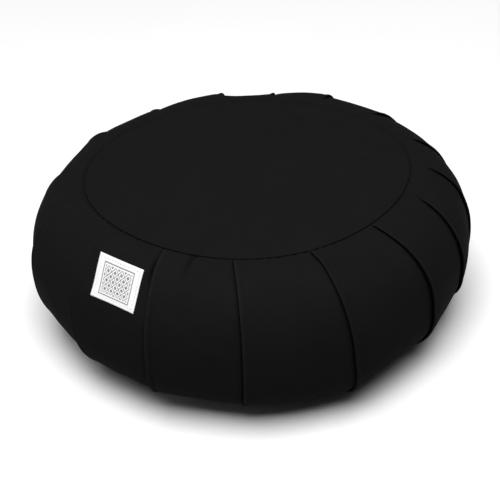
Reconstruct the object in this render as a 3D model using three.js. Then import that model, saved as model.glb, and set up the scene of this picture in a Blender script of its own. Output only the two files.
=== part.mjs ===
// A round zafu meditation cushion. A side band folded into knife pleats joins two plain discs of cloth,
// the whole is filled firm, and a small woven label is sewn flat on one of the band's panels.
// Millimetres, +Z up, origin on the floor under the middle of the base, the front towards -Y.

import * as THREE from "three";

// Sizes of the whole cushion
const WIDTH = 401; // across the side at its fullest
const FULLEST_HEIGHT = 68; // of the widest part of the side
const SEAM_DIAMETER = 288; // of the two seams that join the discs to the side
const TOP_SEAM_HEIGHT = 138;
const BASE_SEAM_HEIGHT = 9;
const CROWN_RISE = 7; // of the seat's middle over its seam
const FLAT_BASE_DIAMETER = 240; // what rests on the floor

// Cloth and sewing
const DISC_THICKNESS = 1.5; // of each disc of cloth, with its turned edge
const SEWN_GAP = 0.3; // between a piece and what it is sewn to
const SEAM_DROP = 2; // how far a disc's edge turns in at its seam
const FOLD_THICKNESS = 1.6; // of a pleat's folded edge
const FOLD_DEPTH = 5; // how far a panel runs on under the next fold
const LABEL = {
  width: 47,
  height: 38,
  thickness: 1,
  lift: 0.5, // off the panel that it is sewn to
  panel: 0, // the row of PLEATS that it is sewn to
  middle: 0.605, // of that panel's width
  arc: 42, // from the top seam down the side to the label's middle
  turned: 2, // degrees that its lower end swings to the right
};

// The pleats, anticlockwise from the front left. Each row is one fold and the panel that starts there.
// top, base: where the fold meets the two seams, in degrees anticlockwise from the right.
// fold, middle, tuck: how far the panel stands out from the side's even section at its fold, halfway,
// and where it dives under the next fold. The folds stand proud and the panels are drawn flat.
const PLEATS = [
  { top: -144, base: -138.5, fold: -1.2, middle: -3.8, tuck: -4.4 },
  { top: -120, base: -115, fold: -0.8, middle: -1.6, tuck: -1.2 },
  { top: -96, base: -92, fold: 2, middle: 1.8, tuck: 1.6 },
  { top: -72, base: -66, fold: 4.8, middle: -3, tuck: -4.4 },
  { top: -46.5, base: -42, fold: -1, middle: -2.2, tuck: -2.2 },
  { top: -27.5, base: -21, fold: 1, middle: 0, tuck: -1 },
  { top: -6.5, base: -5.5, fold: 2, middle: -1.2, tuck: -3.4 },
  { top: 14.5, base: 13, fold: 0.2, middle: -0.8, tuck: -2.8 },
  { top: 38.5, base: 37, fold: 0.6, middle: 0.8, tuck: -0.6 },
  { top: 59, base: 60, fold: 2.8, middle: 0, tuck: -4 },
  { top: 79, base: 80.5, fold: -1.2, middle: -3.2, tuck: -1.8 },
  { top: 96.5, base: 99, fold: 1.4, middle: 0.4, tuck: -2.6 },
  { top: 122, base: 123, fold: 0.8, middle: -1.8, tuck: -3 },
  { top: 145, base: 147.5, fold: 0.2, middle: -3.4, tuck: -3.6 },
  { top: 170.5, base: 174, fold: -0.4, middle: 0.6, tuck: 1 },
  { top: 194, base: 198, fold: 4.4, middle: -3.6, tuck: -4.4 },
];

// How finely the surfaces are cut up
const SIDE_ROWS = 20;
const FACE_STEPS = [0.08, 0.26, 0.46, 0.66, 0.86]; // across a panel, from its fold to the next
const DISC_RINGS = [1, 0.975, 0.9, 0.72, 0.45, 0.2]; // shares of a disc's radius, from its edge inwards
const FULL_RINGS = 3; // of those, how many keep every point of the edge
const DISC_COLUMNS = 72;
const LABEL_STEPS = 8;

// Values worked out from those
const SEAM_RADIUS = SEAM_DIAMETER / 2;
const BULGE = WIDTH / 2 - SEAM_RADIUS;
const ROUNDNESS = 0.85; // under 1 the side's section is fuller than an ellipse
const FOLD_STEP = 0.8; // between the columns that make a fold's edge
const DISC_RADIUS = SEAM_RADIUS - 1;
const EDGE_TURN = 40; // how sharply a disc's edge turns in at the seam
const SETTLING = 0.13; // share of the section over which pleats rise from a seam

const radians = THREE.MathUtils.degToRad;
const mix = THREE.MathUtils.lerp;
const smooth = THREE.MathUtils.smoothstep;

function onRound(radius, azimuth, height) {
  return new THREE.Vector3(radius * Math.cos(azimuth), radius * Math.sin(azimuth), height);
}

// The side's even section. turn runs from 0 at the top seam to 1 at the base seam.
function section(turn) {
  const angle = Math.PI * (0.5 - turn);
  const seamHeight = turn < 0.5 ? TOP_SEAM_HEIGHT : BASE_SEAM_HEIGHT;
  const rise = Math.abs(Math.sin(angle)) ** ROUNDNESS;
  return {
    radius: SEAM_RADIUS + BULGE * Math.max(Math.cos(angle), 0) ** ROUNDNESS,
    height: mix(FULLEST_HEIGHT, seamHeight, rise),
    outward: Math.cos(angle),
    upward: Math.sin(angle),
  };
}

// A point of the side: an azimuth, and how far it stands out from the even section.
function sidePoint(turn, azimuth, standing) {
  const at = section(turn);
  return onRound(at.radius + standing * at.outward, azimuth, at.height + standing * at.upward);
}

// Pleats lie flat where they are sewn and stand up away from the seams.
function settled(turn) {
  return smooth(turn, 0, SETTLING) * smooth(1 - turn, 0, SETTLING);
}

function foldAzimuth(index, turn) {
  const pleat = PLEATS[index % PLEATS.length];
  const turns = Math.floor(index / PLEATS.length);
  return radians(mix(pleat.top, pleat.base, turn) + 360 * turns);
}

// How far a panel stands out at a share of its width.
function panelStanding(index, share) {
  const { fold, middle, tuck } = PLEATS[index];
  const bow = middle - (fold + tuck) / 2;
  return mix(fold, tuck, share) + bow * 4 * share * (1 - share);
}

// One panel's points at one height: the hollow under its fold, the fold's edge, the face, and the end.
function panelPoints(index, turn) {
  const stand = settled(turn);
  const radius = section(turn).radius;
  const start = foldAzimuth(index, turn);
  const end = foldAzimuth(index + 1, turn);
  const { fold, tuck } = PLEATS[index];
  const before = PLEATS.at(index - 1);
  const hollow = mix(-FOLD_STEP, FOLD_DEPTH, stand);
  const columns = [
    { azimuth: start + hollow / radius, standing: before.tuck - SEWN_GAP },
    { azimuth: start, standing: fold - FOLD_THICKNESS },
    { azimuth: start + FOLD_STEP / radius, standing: fold },
    ...FACE_STEPS.map((share) => ({
      azimuth: mix(start, end, share),
      standing: panelStanding(index, share),
    })),
    { azimuth: end - (2 * FOLD_STEP) / radius, standing: tuck },
  ];
  return columns.map(({ azimuth, standing }) => sidePoint(turn, azimuth, standing * stand));
}

// Rows crowd together near the seams, where the side turns in.
function sideRing(row) {
  const turn = smooth(row / SIDE_ROWS, 0, 1);
  return PLEATS.flatMap((_, index) => panelPoints(index, turn));
}

// The seat's and the base's outer faces, at a share of the disc's radius.
function seatHeight(share) {
  return TOP_SEAM_HEIGHT + CROWN_RISE * (1 - share ** 2) - SEAM_DROP * share ** EDGE_TURN;
}

function baseHeight(share) {
  const flatShare = FLAT_BASE_DIAMETER / 2 / DISC_RADIUS;
  const rise = Math.max(share - flatShare, 0) / (1 - flatShare);
  return BASE_SEAM_HEIGHT * rise ** 2 + SEAM_DROP * share ** EDGE_TURN;
}

// Keeps every second point of a ring and moves the points to another radius and height.
function reringed(ring, radius, height, halve) {
  const kept = halve ? ring.filter((_, index) => index % 2 === 0) : ring;
  return kept.map((point) => onRound(radius, Math.atan2(point.y, point.x), height));
}

// A disc's face as rings from the edge to the middle. Each inner ring has half the points of the last.
function discRings(edge, heightAt) {
  const rings = [];
  let ring = edge;
  DISC_RINGS.forEach((share, index) => {
    ring = reringed(ring, DISC_RADIUS * share, heightAt(share), index >= FULL_RINGS);
    rings.push(ring);
  });
  rings.push([new THREE.Vector3(0, 0, heightAt(0))]);
  return rings;
}

// Triangles between a ring of points and the next one up, which may have as many, twice, half or just one.
function joined(lower, upper) {
  const steps = Math.max(lower.length, upper.length);
  const at = (ring, step) => ring[Math.floor((step * ring.length) / steps) % ring.length];
  const triangles = [];
  for (let step = 0; step < steps; step += 1) {
    const [low, lowNext] = [at(lower, step), at(lower, step + 1)];
    const [up, upNext] = [at(upper, step), at(upper, step + 1)];
    if (low !== lowNext) {
      triangles.push([low, lowNext, upNext]);
    }
    if (up !== upNext) {
      triangles.push([low, upNext, up]);
    }
  }
  return triangles;
}

function geometryOf(triangles) {
  const numbers = triangles.flat().flatMap((point) => point.toArray());
  const geometry = new THREE.BufferGeometry();
  geometry.setAttribute("position", new THREE.Float32BufferAttribute(numbers, 3));
  geometry.computeVertexNormals();
  return geometry;
}

// A closed skin through rings in order, from the middle underneath to the middle on top.
function closedSkin(rings) {
  return geometryOf(rings.slice(1).flatMap((ring, index) => joined(rings[index], ring)));
}

function evenRing(count) {
  return Array.from({ length: count }, (_, index) => onRound(1, (2 * Math.PI * index) / count, 0));
}

// The filled side: the pleated band, closed above and below by the filling under the two discs.
function pleatedSideGeometry() {
  const rows = Array.from({ length: SIDE_ROWS + 1 }, (_, row) => sideRing(SIDE_ROWS - row));
  const underDiscs = DISC_THICKNESS + SEWN_GAP;
  const closing = (edge, heightAt) => [
    reringed(edge, DISC_RADIUS + 2 * SEWN_GAP, heightAt(1), false),
    ...discRings(edge, heightAt),
  ];
  const baseFace = closing(rows[0], (share) => baseHeight(share) + underDiscs);
  const seatFace = closing(rows[SIDE_ROWS], (share) => seatHeight(share) - underDiscs);
  return closedSkin([...baseFace.reverse(), ...rows, ...seatFace]);
}

// A round of cloth between its underside and its outside.
function discGeometry(lowerHeight, upperHeight) {
  const edge = evenRing(DISC_COLUMNS);
  const lower = discRings(edge, lowerHeight);
  const upper = discRings(edge, upperHeight);
  return closedSkin([...lower.reverse(), ...upper]);
}

function topPanelGeometry() {
  return discGeometry((share) => seatHeight(share) - DISC_THICKNESS, seatHeight);
}

function basePanelGeometry() {
  return discGeometry(baseHeight, (share) => baseHeight(share) + DISC_THICKNESS);
}

// The turn that lies a given distance down the side's section from the top seam.
function turnAtArc(arc) {
  const step = 0.001;
  let walked = 0;
  let turn = 0;
  while (walked < arc) {
    const from = section(turn);
    const to = section(turn + step);
    walked += Math.hypot(to.radius - from.radius, to.height - from.height);
    turn += step;
  }
  return turn;
}

// A point of the label's cloth, across and down from its middle, lifted off the panel under it.
function labelPoint(across, down, lift) {
  const slant = radians(LABEL.turned);
  const sideways = across * Math.cos(slant) + down * Math.sin(slant);
  const downwards = down * Math.cos(slant) - across * Math.sin(slant);
  const turn = turnAtArc(LABEL.arc + downwards);
  const from = foldAzimuth(LABEL.panel, turn);
  const to = foldAzimuth(LABEL.panel + 1, turn);
  const share = LABEL.middle + sideways / section(turn).radius / (to - from);
  const standing = panelStanding(LABEL.panel, share) * settled(turn);
  return sidePoint(turn, mix(from, to, share), standing + lift);
}

// The label: a thin sheet that follows the panel, closed by its cut edge.
function labelGeometry() {
  const row = (down, lift) =>
    Array.from({ length: LABEL_STEPS + 1 }, (_, step) =>
      labelPoint(LABEL.width * (step / LABEL_STEPS - 0.5), down, lift),
    );
  const grid = (lift) =>
    Array.from({ length: LABEL_STEPS + 1 }, (_, step) =>
      row(LABEL.height * (step / LABEL_STEPS - 0.5), lift),
    );
  const outer = grid(LABEL.lift + LABEL.thickness);
  const inner = grid(LABEL.lift);
  const triangles = [];
  const quad = (a, b, c, d) => triangles.push([a, b, c], [a, c, d]);
  for (let i = 0; i < LABEL_STEPS; i += 1) {
    for (let j = 0; j < LABEL_STEPS; j += 1) {
      quad(outer[i + 1][j], outer[i + 1][j + 1], outer[i][j + 1], outer[i][j]);
      quad(inner[i][j], inner[i][j + 1], inner[i + 1][j + 1], inner[i + 1][j]);
    }
    const last = LABEL_STEPS;
    quad(outer[0][i], outer[0][i + 1], inner[0][i + 1], inner[0][i]);
    quad(inner[last][i], inner[last][i + 1], outer[last][i + 1], outer[last][i]);
    quad(inner[i][0], inner[i + 1][0], outer[i + 1][0], outer[i][0]);
    quad(outer[i][last], outer[i + 1][last], inner[i + 1][last], inner[i][last]);
  }
  return geometryOf(triangles);
}

const blackCotton = new THREE.MeshStandardMaterial({ color: 0x1c1c1c, roughness: 0.95, metalness: 0 });
const whiteWeave = new THREE.MeshStandardMaterial({ color: 0xf4f4f2, roughness: 0.8, metalness: 0 });

function piece(name, geometry, material) {
  const mesh = new THREE.Mesh(geometry, material);
  mesh.name = name;
  return mesh;
}

const zafu = new THREE.Group();
zafu.name = "zafu";
zafu.add(
  piece("pleated_side", pleatedSideGeometry(), blackCotton),
  piece("top_panel", topPanelGeometry(), blackCotton),
  piece("base_panel", basePanelGeometry(), blackCotton),
  piece("label", labelGeometry(), whiteWeave),
);

export default zafu;
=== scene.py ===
import math

import bpy
import numpy as np
from bpy.props import FloatProperty, FloatVectorProperty, IntProperty, PointerProperty
from mathutils import Matrix, Vector, noise


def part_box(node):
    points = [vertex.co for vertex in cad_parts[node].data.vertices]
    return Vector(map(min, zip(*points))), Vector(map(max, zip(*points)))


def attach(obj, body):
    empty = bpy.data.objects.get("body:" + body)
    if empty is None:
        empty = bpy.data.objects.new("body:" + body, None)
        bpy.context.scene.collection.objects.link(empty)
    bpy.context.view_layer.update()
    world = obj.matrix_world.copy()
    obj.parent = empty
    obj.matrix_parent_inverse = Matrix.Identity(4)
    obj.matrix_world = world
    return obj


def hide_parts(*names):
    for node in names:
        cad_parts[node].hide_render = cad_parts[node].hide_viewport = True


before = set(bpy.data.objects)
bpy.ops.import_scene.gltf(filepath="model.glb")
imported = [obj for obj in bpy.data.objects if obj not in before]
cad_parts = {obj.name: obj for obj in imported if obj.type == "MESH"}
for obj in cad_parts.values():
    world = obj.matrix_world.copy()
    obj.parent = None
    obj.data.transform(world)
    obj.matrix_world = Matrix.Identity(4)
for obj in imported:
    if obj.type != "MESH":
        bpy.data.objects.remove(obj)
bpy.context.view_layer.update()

bl_info = {
    "name": "Zafu Cushion",
    "version": (1, 0, 0),
    "blender": (4, 5, 0),
    "location": "View3D > Sidebar > Zafu",
    "description": "Dresses a round meditation cushion with a knife-pleated side, and sets its stage",
    "category": "Object",
}

MM = 0.001
TWO_PI = 2 * math.pi
SEAT_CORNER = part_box("top_panel")[1]  # the right, rear and upper end of the CAD's seat
TOP_SEAM_HEIGHT = 138 * MM

# The pleats, anticlockwise from the front left: each row is one fold and the panel that starts there.
# top, base: degrees anticlockwise from the right where the fold meets the top and base seams.
# bow: degrees that the fold swings on past a straight line between its ends, halfway down.
# sway: about the degrees that it swings on a quarter of the way down, and back at three quarters.
# fold, middle: millimetres that the panel stands out at its fold and halfway along.
# gape: millimetres that the fold stands off the panel it covers, halfway down.
# dip: millimetres that the panel before it dips towards the fold.
# opens: millimetres from the top seam over which the fold is pressed flat before it stands off.
PLEAT_COLUMNS = ("top", "base", "bow", "sway", "fold", "middle", "gape", "dip", "opens")
PLEAT_ROWS = [
    (-144.0, -138.5, 0.0, 0.0, -2.5, -3.6, 0.2, 0.3, 40),
    (-120.1, -118.2, 2.3, 1.1, -0.8, -1.4, 0.6, 1.7, 3),
    (-96.2, -95.9, 2.6, 0.4, 2.0, 1.0, 0.6, 1.5, 3),
    (-71.5, -67.4, 1.5, -0.7, 4.8, -2.8, 1.7, 0.7, 3),
    (-46.4, -43.0, 3.5, -1.1, -1.8, -3.4, 1.7, 0.7, 4),
    (-22.4, -12.5, -5.6, -1.2, -1.2, -0.6, 0.8, 0.7, 26),
    (-4.2, -1.5, -4.4, 0.0, 0.8, -1.2, 0.5, 0.7, 27),
    (17.5, 15.5, -4.5, 0.0, -1.8, -2.4, 0.4, 0.7, 28),
    (39.5, 37.5, -3.0, 0.0, -0.6, 0.0, 0.4, 0.7, 26),
    (59.0, 60.0, 0.8, 0.0, 2.8, 1.8, 0.6, 0.8, 22),
    (79.0, 80.5, 0.0, 0.0, -1.2, -3.2, 0.9, 0.6, 18),
    (96.5, 99.0, 0.9, 0.0, 1.4, 0.4, 1.1, 0.8, 14),
    (122.0, 123.0, -0.6, 0.0, -1.0, -1.8, 1.2, 0.7, 18),
    (145.0, 147.5, 0.5, 0.0, 0.8, -3.4, 0.9, 0.7, 20),
    (170.5, 174.0, 0.0, 0.0, -3.0, -0.6, 0.8, 0.6, 24),
    (194.0, 198.0, 0.0, 0.0, 2.2, -3.2, 0.9, 0.4, 34),
]
PLEATS = [dict(zip(PLEAT_COLUMNS, row)) for row in PLEAT_ROWS]

# How far the hand-sewn top seam strays from a circle: each row is a wave with its number of rounds, its
# depth in millimetres and the azimuth of its first crest in degrees.
SEAM_WAVES = [
    {"rounds": 0, "depth": -1.0, "crest": 0.0},
    {"rounds": 1, "depth": 1.5, "crest": 89.0},
    {"rounds": 2, "depth": 1.9, "crest": -6.0},
    {"rounds": 3, "depth": 1.4, "crest": 40.0},
    {"rounds": 4, "depth": 1.3, "crest": 4.0},
]

# Small creases in the panels: the pleat's row, the share of its width at the crease's upper and lower
# end, the distance of those ends from the top seam, and the crease's depth and half width, in millimetres.
CREASES = [
    {"pleat": 1, "share": (0.46, 0.33), "down": (0, 36), "depth": 1.9, "spread": 2.4},
    {"pleat": 0, "share": (0.16, 0.08), "down": (4, 24), "depth": 0.7, "spread": 5.0},
    {"pleat": 0, "share": (0.30, 0.27), "down": (2, 13), "depth": 0.5, "spread": 3.0},
    {"pleat": 2, "share": (0.60, 0.55), "down": (1, 12), "depth": 0.4, "spread": 3.0},
    {"pleat": 5, "share": (0.42, 0.48), "down": (1, 18), "depth": 0.6, "spread": 3.2},
    {"pleat": 9, "share": (0.55, 0.48), "down": (1, 22), "depth": 0.8, "spread": 3.4},
    {"pleat": 12, "share": (0.40, 0.47), "down": (1, 20), "depth": 0.9, "spread": 3.4},
    {"pleat": 14, "share": (0.62, 0.55), "down": (1, 17), "depth": 0.7, "spread": 3.0},
    {"pleat": 0, "share": (0.982, 0.972), "down": (2, 70), "depth": 1.6, "spread": 0.9},
    {"pleat": 1, "share": (0.066, 0.072), "down": (48, 170), "depth": 1.1, "spread": 0.9},
]


def a_number(label, text, default, **kind):
    return FloatProperty(name=label, description=text, default=default, **kind)


def a_length(label, text, default):
    return a_number(label, text, default, unit="LENGTH", precision=5)


def a_colour(label, text, default):
    return FloatVectorProperty(name=label, description=text, default=default, size=3, subtype="COLOR")


class ZafuSizes(bpy.types.PropertyGroup):
    """Real sizes of the cushion and its pieces"""

    fullest_radius: a_length("Fullest Radius", "Radius of the side where it is widest", 200.5 * MM)
    fullest_height: a_length("Fullest Height", "Height at which the side is widest", 68 * MM)
    disc_radius: a_length("Disc Radius", "Radius of the seat and of the base", SEAT_CORNER.x)
    seam_radius: a_length("Seam Radius", "Radius of the two seams", SEAT_CORNER.x + 1 * MM)
    top_seam: a_length("Top Seam Height", "Height of the seat's seam", TOP_SEAM_HEIGHT)
    base_seam: a_length("Base Seam Height", "Height of the base's seam", 9 * MM)
    crown: a_length("Crown", "Rise of the seat's middle over its seam", SEAT_CORNER.z - TOP_SEAM_HEIGHT)
    flat_radius: a_length("Flat Radius", "Radius of the base that lies flat on the floor", 120 * MM)
    disc_cloth: a_length("Disc Cloth", "Thickness of the seat's and the base's cloth", 1.5 * MM)
    cloth: a_length("Cloth", "Thickness of the side's cloth", 0.8 * MM)
    sewn_depth: a_length("Sewn Pleat Depth", "How far a pleat runs under its fold at the seams", 14.5 * MM)
    open_depth: a_length("Open Pleat Depth", "How far it runs under its fold at the widest part", 4.5 * MM)
    groove: a_length("Seam Groove", "Depth of the groove at a seam", 4 * MM)
    swell: a_length("Largest Swell", "The most that the filling may push a panel out", 4.5 * MM)
    slack: a_length("Slack", "How far a panel's middle starts inside its filled shape", 0.6 * MM)
    label_width: a_length("Label Width", "Width of the label", 47 * MM)
    label_height: a_length("Label Height", "Height of the label", 34.4 * MM)
    label_cloth: a_length("Label Cloth", "Thickness of the label", 0.8 * MM)
    label_down: a_length("Label Place", "From the top seam down the side to the label's middle", 44.0 * MM)
    label_middle: a_number("Label Middle", "Share of its panel's width at the label's middle", 0.59)
    label_turn: a_number("Label Turn", "How far its lower end swings", math.radians(-0.8), subtype="ANGLE")


class ZafuFinish(bpy.types.PropertyGroup):
    """Colours of the cloth, and the pitch of its ribs and of the sewing"""

    cotton: a_colour("Cotton", "The cover's black cotton", (0.0038, 0.0038, 0.00385))
    cotton_worn: a_colour("Raised Cotton", "The cotton where its fibres stand up", (0.0044, 0.0044, 0.00445))
    label_white: a_colour("Label White", "The label's cloth", (0.47, 0.47, 0.467))
    label_grey: a_colour("Label Grey", "The pattern woven into the label", (0.12, 0.12, 0.123))
    rib: a_length("Rib", "Pitch of the cotton's diagonal ribs", 0.8 * MM)
    seam_stitch: a_length("Seam Stitch", "Pitch of the stitches in the two seams", 4.2 * MM)
    label_stitch: a_length("Label Stitch", "Pitch of the stitches round the label", 3.0 * MM)
    seed: IntProperty(name="Seed", description="Seed of all that is uneven", default=7)


class ZafuStage(bpy.types.PropertyGroup):
    """Camera, lights and floor"""

    distance: a_number("Camera Distance", "From the cushion's middle", 1.0, unit="LENGTH")
    elevation: a_number("Elevation", "Of the camera over the floor", math.radians(32.73), subtype="ANGLE")
    roll: a_number("Roll", "Turn of the picture", math.radians(3.21), subtype="ANGLE")
    lens: a_number("Lens", "Focal length in millimetres", 77.26)
    floor_white: a_number("Floor White", "Whiteness of the floor", 0.51, subtype="FACTOR")
    key: a_number("Key Light", "Power of the soft light overhead", 400.0, unit="POWER")
    fill: a_number("Fill Light", "Power of the soft light at the left", 6.0, unit="POWER")
    sky: a_number("Sky", "Strength of the even light all round", 0.08)


# Shape of the side

ROUNDNESS = 0.85  # under 1 the side's section is fuller than an ellipse
SETTLING = 0.13  # share of the section over which pleats rise from a seam
SHOULDER = 5 * MM  # over which the side rounds into a seam's groove
SHOULDER_DROP = 2.2 * MM
GROOVE_LEAN = 0.1  # how much a seam's groove narrows as it goes in
RIDGE = 0.45 * MM  # height of the pressed cloth along a fold
RIDGE_MIDDLE = 1.7 * MM  # past the fold
RIDGE_SPREAD = 1.1 * MM
FURROW = 0.7 * RIDGE  # depth of the hollow behind it
FURROW_MIDDLE = 3.2 * RIDGE_MIDDLE
FURROW_SPREAD = 1.5 * RIDGE_SPREAD
DIP_REACH = 1.9 * MM  # over which a panel dips towards the next fold
SHADED_REACH = 1.1 * MM  # over which it gets painted shade from that fold
FULL_DIP = 1.5  # millimetres of dip at which a fold's painted highlight and painted shade are strongest
CREASE_SHADED = 2.4 * MM  # depth at which a crease's painted shade would be darkest
CREASE_PANEL = 65 * MM  # width of a panel that the creases' shares of it stand for
LUMP_SIZE = 60 * MM  # of the filling under the cloth
LUMP_DEPTH = 1.6 * MM
RUMPLE_SIZE = 19 * MM
RUMPLE_DEPTH = 0.35 * MM
SEAM_RIPPLES = 106  # to a round of a seam, where the stitches pull the cloth in
SEAM_RIPPLE_DEPTH = 0.45 * MM
SEAM_RIPPLE_REACH = 5 * MM
LABEL_PANEL = 0  # the row of PLEATS that the label is sewn to
LABEL_BEND_ACROSS = 190 * MM  # radii of the panel under the label, which it holds flat
LABEL_BEND_DOWN = 50 * MM
LABEL_SWEEP = 250 * MM  # radius of a level line round the side, as it lies in the label's own plane
LABEL_PRESS = 2.0 * MM  # how far its panel is pressed in under it
LABEL_HOLD = 20 * MM  # past its edges, over which the panel comes back to its own form
LABEL_LEAN = 0.15  # how much steeper the label stands than the side round it


def smooth(value, low, high):
    share = np.clip((np.asarray(value, float) - low) / (high - low), 0, 1)
    return share * share * (3 - 2 * share)


def mix(low, high, share):
    return low + (high - low) * share


def bell(distance, spread):
    return np.exp(-((distance / spread) ** 2))


def cubic_weights(share):
    """Weights of four neighbours for a smooth value between the middle two."""
    s = np.asarray(share, float)
    return (
        (-s + 2 * s**2 - s**3) / 2,
        (2 - 5 * s**2 + 3 * s**3) / 2,
        (s + 4 * s**2 - 3 * s**3) / 2,
        (-(s**2) + s**3) / 2,
    )


def sampled(grid, rows, columns):
    """Smooth values of a grid at places given in rows and columns, which may lie between its points."""
    last_row, last_column = grid.shape[0] - 1, grid.shape[1] - 1
    rows, columns = np.broadcast_arrays(np.clip(rows, 0, last_row), np.clip(columns, 0, last_column))
    row, column = np.floor(rows).astype(int), np.floor(columns).astype(int)
    total = np.zeros(rows.shape)
    for i, across in enumerate(cubic_weights(rows - row)):
        near_row = np.clip(row + i - 1, 0, last_row)
        for j, along in enumerate(cubic_weights(columns - column)):
            near_column = np.clip(column + j - 1, 0, last_column)
            total = total + across * along * grid[near_row, near_column]
    return total


def pleat(index):
    """The row of a fold. Numbers past the last row go round again."""
    return PLEATS[index % len(PLEATS)]


def creases(index):
    return [crease for crease in CREASES if crease["pleat"] == index]


def straying(azimuth):
    """How far the top seam lies outside its circle."""
    total = 0
    for wave in SEAM_WAVES:
        past_crest = azimuth - math.radians(wave["crest"])
        total = total + wave["depth"] * MM * np.cos(wave["rounds"] * past_crest)
    return total


def unevenness(points, size, depth, seed):
    """Soft, repeatable hills and hollows of a given size at each of the points."""
    flat = np.asarray(points).reshape(-1, 3) / size + seed * 7.3
    heights = [noise.noise(Vector(point)) for point in flat]
    return depth * np.array(heights).reshape(np.asarray(points).shape[:-1])


class Side:
    """The side's surface: where a point of a panel's cloth lies, in metres."""

    def __init__(self, sizes, seed):
        self.sizes = sizes
        self.seed = seed
        self.turns = np.linspace(0, 1, 2001)
        radius, height, _, _ = self.section(self.turns)
        steps = np.hypot(np.diff(radius), np.diff(height))
        self.walked = np.concatenate([[0], np.cumsum(steps)])
        self.length = float(self.walked[-1])
        self.swelling = None  # for each panel, a grid down and across it

    def section(self, turn):
        """Radius and height of the even section, and its outward direction, from 0 at the top seam to 1."""
        s = self.sizes
        angle = math.pi * (0.5 - turn)
        seam = np.where(turn < 0.5, s.top_seam, s.base_seam)
        rise = np.abs(np.sin(angle)) ** ROUNDNESS
        out = np.maximum(np.cos(angle), 0) ** ROUNDNESS
        radius = s.seam_radius + (s.fullest_radius - s.seam_radius) * out
        return radius, mix(s.fullest_height, seam, rise), np.cos(angle), np.sin(angle)

    def turn_at(self, along):
        """The section's turn at a distance down from the top seam."""
        return np.interp(along, self.walked, self.turns)

    def fold_azimuth(self, index, turn):
        fold = pleat(index)
        rounds = index // len(PLEATS)
        swing = (4 * fold["bow"] + 10 * fold["sway"] * (1 - 2 * turn)) * turn * (1 - turn)
        return np.radians(mix(fold["top"], fold["base"], turn) + swing + 360 * rounds)

    def settled(self, turn):
        return smooth(turn, 0, SETTLING) * smooth(1 - turn, 0, SETTLING)

    def gape(self, index, turn):
        """How far a fold stands off the panel that it covers: nothing at the seams and most halfway down."""
        from_top = mix(0.18, 1.0, smooth(turn, 0.05, 0.4))
        to_base = smooth(1 - turn, 0.28, 0.5)
        return pleat(index)["gape"] * MM * from_top * to_base * self.opened(index, turn)

    def opened(self, index, turn):
        """From 0 where a fold is pressed flat at the top seam to 1 where it stands free."""
        pressed = pleat(index)["opens"] * MM
        return smooth(np.interp(turn, self.turns, self.walked), 0.4 * pressed, pressed)

    def layer(self, index, turn):
        """Thickness that one layer of a pleat's cloth shows."""
        return self.sizes.cloth * mix(0.08, 1.0, self.opened(index, turn))

    def dip(self, index, turn):
        """How far the panel before a fold dips towards it."""
        deepest = pleat(index)["dip"] * MM
        return deepest * smooth(turn, 0, 0.05) * smooth(1 - turn, 0, 0.2) * self.opened(index, turn)

    def layers(self, index, turn):
        """Height of a fold's top, of the end of the panel it covers, and of the cloth tucked under it."""
        top = pleat(index)["fold"] * MM * self.settled(turn)
        covered = top - 2 * self.layer(index, turn) - self.gape(index, turn)
        return top, covered, covered - self.dip(index, turn)

    def face(self, index, share, along, slack=0.0):
        """How far panel number index stands out at a share of its width."""
        turn = self.turn_at(along)
        stand = self.settled(turn)
        top, _, _ = self.layers(index, turn)
        _, end, _ = self.layers(index + 1, turn)
        bulge = PLEATS[index]["middle"] * MM * stand - (top + end) / 2
        height = mix(top, end, share) + bulge * 4 * share * (1 - share)
        return height - slack * stand * np.sin(math.pi * share)

    def width(self, index, turn):
        """A panel's width at a turn, from its fold to the next."""
        return (self.fold_azimuth(index + 1, turn) - self.fold_azimuth(index, turn)) * self.section(turn)[0]

    def detailed_face(self, index, share, along):
        """A panel's standing with its swell, pressed fold, dip at the next one and small creases."""
        sizes = self.sizes
        slack = sizes.slack if self.swelling is not None else 0.0
        height = self.face(index, share, along, slack)
        turn = self.turn_at(along)
        past_fold = share * self.width(index, turn)
        to_next = (1 - share) * self.width(index, turn)
        pressed = RIDGE * bell(past_fold - RIDGE_MIDDLE, RIDGE_SPREAD)
        pressed = pressed - FURROW * bell(past_fold - FURROW_MIDDLE, FURROW_SPREAD)
        height = height + pressed * self.settled(turn) * self.opened(index, turn)
        height = height - self.dip(index + 1, turn) * np.exp(-to_next / DIP_REACH)
        if self.swelling is not None:
            grid = self.swelling[index]
            down = np.clip(along / self.length, 0, 1) * (grid.shape[0] - 1)
            height = height + sampled(grid, down, share * (grid.shape[1] - 1))
        for crease in creases(index):
            height = height - self.crease_depth(crease, share, along)
        if index == LABEL_PANEL:
            height = self.flattened(height, share, along)
        return height

    def flattened(self, height, share, along):
        """The label's panel, which the stiff label holds flat and presses in."""
        sizes = self.sizes
        turn = self.turn_at(along)
        across = (share - sizes.label_middle) * self.width(LABEL_PANEL, turn)
        down = along - sizes.label_down
        near_across = np.clip(across, -sizes.label_width / 2, sizes.label_width / 2)
        near_down = np.clip(down, -sizes.label_height / 2, sizes.label_height / 2)
        bend = near_across**2 / (2 * LABEL_BEND_ACROSS) + near_down**2 / (2 * LABEL_BEND_DOWN)
        flat = bend - LABEL_PRESS + PLEATS[LABEL_PANEL]["middle"] * MM - LABEL_LEAN * near_down
        to_next = (1 - share) * self.width(LABEL_PANEL, turn)
        held = 1 - smooth(np.hypot(across - near_across, down - near_down), 0, LABEL_HOLD)
        return mix(height, flat, held * smooth(to_next, 0, 4 * MM))

    def painted_fold_light(self, index, turn):
        """How strong a fold's painted highlight along its edge and painted shade beneath it are, from 0 to 1.
        """
        return min(pleat(index)["dip"] / FULL_DIP, 1) * self.opened(index, turn)

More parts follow.
